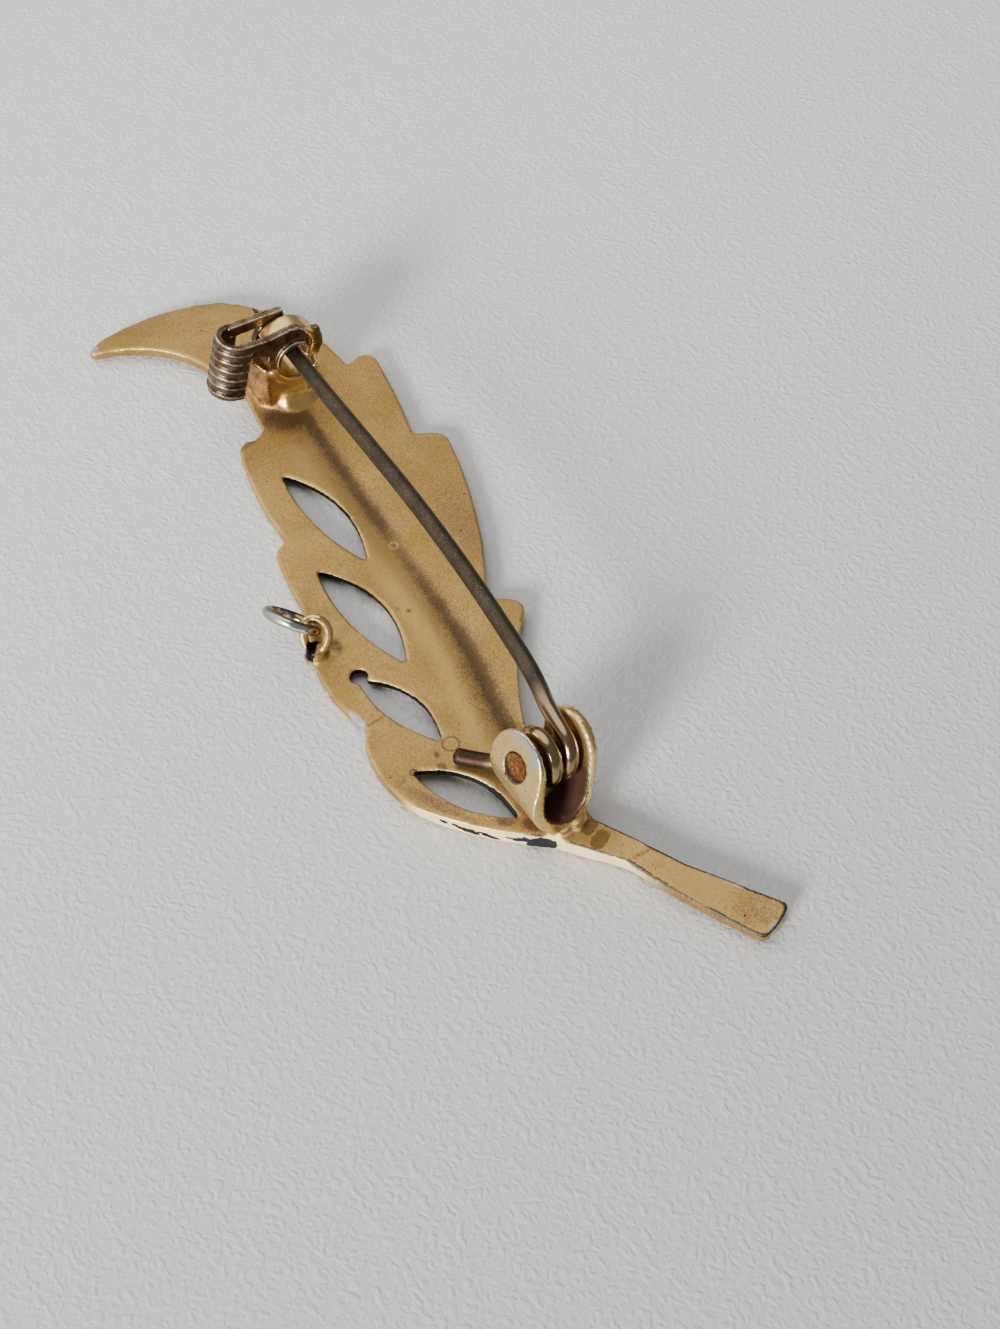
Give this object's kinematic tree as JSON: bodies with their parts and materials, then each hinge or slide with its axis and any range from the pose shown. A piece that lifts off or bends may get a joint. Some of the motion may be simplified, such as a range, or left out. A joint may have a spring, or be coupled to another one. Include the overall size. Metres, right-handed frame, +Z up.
{
  "type": "leaf brooch",
  "caption": "Gold-tone leaf brooch lying face down: pierced dished leaf with a stem, a sprung pin on a riveted hinge, a catch with a turning lock, and a jump ring.",
  "frame": {"origin": "middle of the brooch's box, at the surface that it lies on", "axes": "+X along the leaf towards its tip and the catch, -X towards the stem, +Y towards the side with the jump ring, +Z up from the back of the leaf towards the pin"},
  "size_m": [0.058, 0.0172, 0.0069],
  "materials": {
    "gold_plate": "satin gold plate with brown tarnish in the midrib and round the soldered fittings",
    "copper": "bare copper-coloured rivet, dull and speckled",
    "dark_wire": "dark grey-brown tarnished wire",
    "silver": "polished silver tone",
    "dark_bronze": "dark copper-brown tarnished strip with worn silvery ribs"
  },
  "bodies": {
    "frame": {"leaf": "gold_plate", "rivet": "copper", "spring": "dark_wire", "jump_ring": "silver"},
    "pin": {"pin": "dark_wire"},
    "lock": {"catch_lock": "dark_bronze"}
  },
  "joints": [
    {"name": "pin_hinge", "type": "hinge", "parent": "frame", "child": "pin", "pos_m": [-0.01501, 0.00135, 0.00417], "axis": [0, -0.9848, -0.1736], "range_deg": [0, 90]},
    {"name": "lock_turn", "type": "hinge", "parent": "frame", "child": "lock", "pos_m": [0.01849, -0.00287, 0.0044], "axis": [0.9968, -0.0802, 0], "range_deg": [0, 75]}
  ]
}
